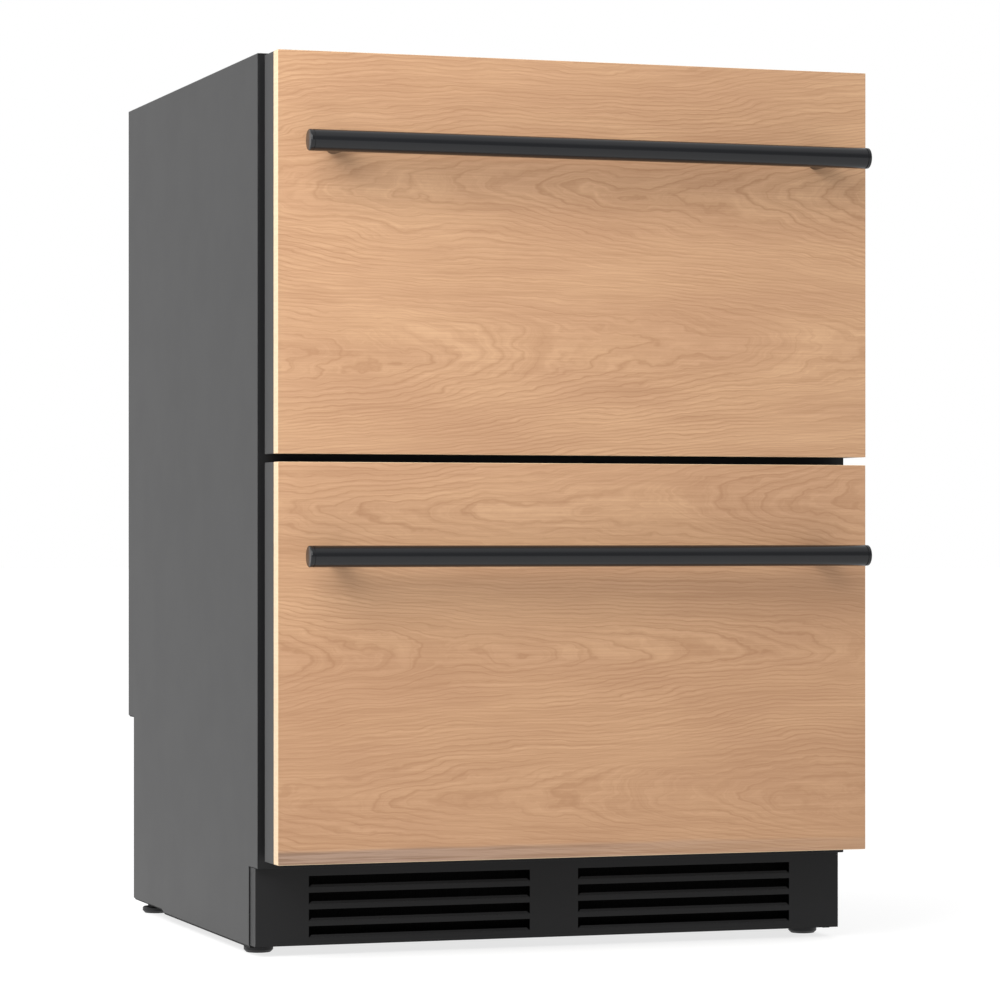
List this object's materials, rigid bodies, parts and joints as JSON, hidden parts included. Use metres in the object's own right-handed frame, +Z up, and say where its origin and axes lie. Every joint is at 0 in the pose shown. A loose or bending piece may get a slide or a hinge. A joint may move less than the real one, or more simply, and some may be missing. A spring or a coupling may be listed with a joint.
{
  "type": "under counter drawer refrigerator",
  "caption": "Under-counter refrigerator with stacked pull-out drawers behind wooden overlay fronts, black bar handles, a louvred toe kick and levelling feet.",
  "frame": {"origin": "on the floor under the feet, midway across the width and midway between the handles' front and the rear panel", "axes": "+Z up; -Y is the front, towards which the drawers open; +X is the right-hand side as seen by a person facing the front"},
  "size_m": [0.595, 0.6442, 0.846],
  "materials": {
    "cabinet_paint": "satin",
    "frame_paint": "satin",
    "base_paint": "matte",
    "galvanised_steel": "satin",
    "zinc_hardware": "satin",
    "slide_steel": "satin",
    "bin_steel": "satin",
    "liner_plastic": "satin",
    "white_plastic": "satin",
    "grey_plastic": "matte",
    "black_plastic": "matte",
    "foot_plastic": "matte",
    "fan_plastic": "satin",
    "gloss_black": "gloss",
    "light_lens": "gloss",
    "insulation_foam": "matte",
    "gasket_rubber": "matte",
    "black_rubber": "matte",
    "maple_wood": "satin",
    "handle_black": "satin",
    "compressor_paint": "gloss",
    "motor_metal": "satin",
    "coil_paint": "matte",
    "coil_aluminium": "satin",
    "copper_tube": "satin"
  },
  "bodies": {
    "root": {"side_panel_left": "cabinet_paint", "side_panel_right": "cabinet_paint", "top_panel": "cabinet_paint", "rear_panel": "galvanised_steel", "bottom_skin": "base_paint", "face_frame": "frame_paint", "upper_liner": "liner_plastic", "lower_liner": "liner_plastic", "foam_insulation": "insulation_foam", "base_pan": "base_paint", "foot_inserts": "zinc_hardware", "kick_plate": "frame_paint", "air_baffle": "base_paint", "machine_cover": "galvanised_steel", "machine_cover_screws": "zinc_hardware", "condenser_coil": "coil_paint", "condenser_fan_shroud": "galvanised_steel", "condenser_fan_motor": "motor_metal", "compressor": "compressor_paint", "compressor_grommets": "black_rubber", "drip_pan": "black_plastic", "refrigerant_tubes": "copper_tube", "filter_drier": "copper_tube", "control_box": "grey_plastic", "cord_inlet": "black_rubber", "evaporator_coil": "coil_aluminium", "evaporator_cover": "liner_plastic", "evaporator_fan_motor": "motor_metal", "control_panel": "gloss_black", "light_lenses": "light_lens", "temperature_sensor": "white_plastic", "slide_outer_rails": "slide_steel"},
    "condenser_fan": {"condenser_fan_blade": "fan_plastic"},
    "evaporator_fan": {"evaporator_fan_blade": "fan_plastic"},
    "upper_slide_middle": {"upper_slide_mid": "slide_steel"},
    "lower_slide_middle": {"lower_slide_mid": "slide_steel"},
    "front_left_foot": {"foot_front_left": "foot_plastic"},
    "front_right_foot": {"foot_front_right": "foot_plastic"},
    "rear_left_foot": {"foot_rear_left": "foot_plastic"},
    "rear_right_foot": {"foot_rear_right": "foot_plastic"},
    "upper_drawer": {"upper_door_shell": "cabinet_paint", "upper_door_foam": "insulation_foam", "upper_door_liner": "liner_plastic", "upper_gasket": "gasket_rubber", "upper_front_panel": "maple_wood", "upper_handle_bar": "handle_black", "upper_handle_posts": "handle_black", "upper_handle_screws": "zinc_hardware", "upper_bin": "bin_steel", "upper_slide_inner": "slide_steel"},
    "lower_drawer": {"lower_door_shell": "cabinet_paint", "lower_door_foam": "insulation_foam", "lower_door_liner": "liner_plastic", "lower_gasket": "gasket_rubber", "lower_front_panel": "maple_wood", "lower_handle_bar": "handle_black", "lower_handle_posts": "handle_black", "lower_handle_screws": "zinc_hardware", "lower_bin": "bin_steel", "lower_slide_inner": "slide_steel"}
  },
  "joints": [
    {"name": "upper_drawer_slide", "type": "slide", "parent": "root", "child": "upper_drawer", "axis": [0, -1, 0], "range_m": [0, 0.4]},
    {"name": "lower_drawer_slide", "type": "slide", "parent": "root", "child": "lower_drawer", "axis": [0, -1, 0], "range_m": [0, 0.4]},
    {"name": "upper_slide_extension", "type": "slide", "parent": "root", "child": "upper_slide_middle", "axis": [0, -1, 0], "range_m": [0, 0.2]},
    {"name": "lower_slide_extension", "type": "slide", "parent": "root", "child": "lower_slide_middle", "axis": [0, -1, 0], "range_m": [0, 0.2]},
    {"name": "condenser_fan_spin", "type": "hinge", "parent": "root", "child": "condenser_fan", "pos_m": [-0.05, 0.19715, 0.105], "axis": [1, 0, 0], "continuous": true},
    {"name": "evaporator_fan_spin", "type": "hinge", "parent": "root", "child": "evaporator_fan", "pos_m": [0, 0.24715, 0.7402], "axis": [0, 1, 0], "continuous": true},
    {"name": "front_left_foot_adjust", "type": "slide", "parent": "root", "child": "front_left_foot", "axis": [0, 0, -1], "range_m": [0, 0.025]},
    {"name": "front_right_foot_adjust", "type": "slide", "parent": "root", "child": "front_right_foot", "axis": [0, 0, -1], "range_m": [0, 0.025]},
    {"name": "rear_left_foot_adjust", "type": "slide", "parent": "root", "child": "rear_left_foot", "axis": [0, 0, -1], "range_m": [0, 0.025]},
    {"name": "rear_right_foot_adjust", "type": "slide", "parent": "root", "child": "rear_right_foot", "axis": [0, 0, -1], "range_m": [0, 0.025]}
  ],
  "couplings": [
    {"joint": "upper_slide_extension", "follows": "upper_drawer_slide", "ratio": 0.5},
    {"joint": "lower_slide_extension", "follows": "lower_drawer_slide", "ratio": 0.5}
  ]
}
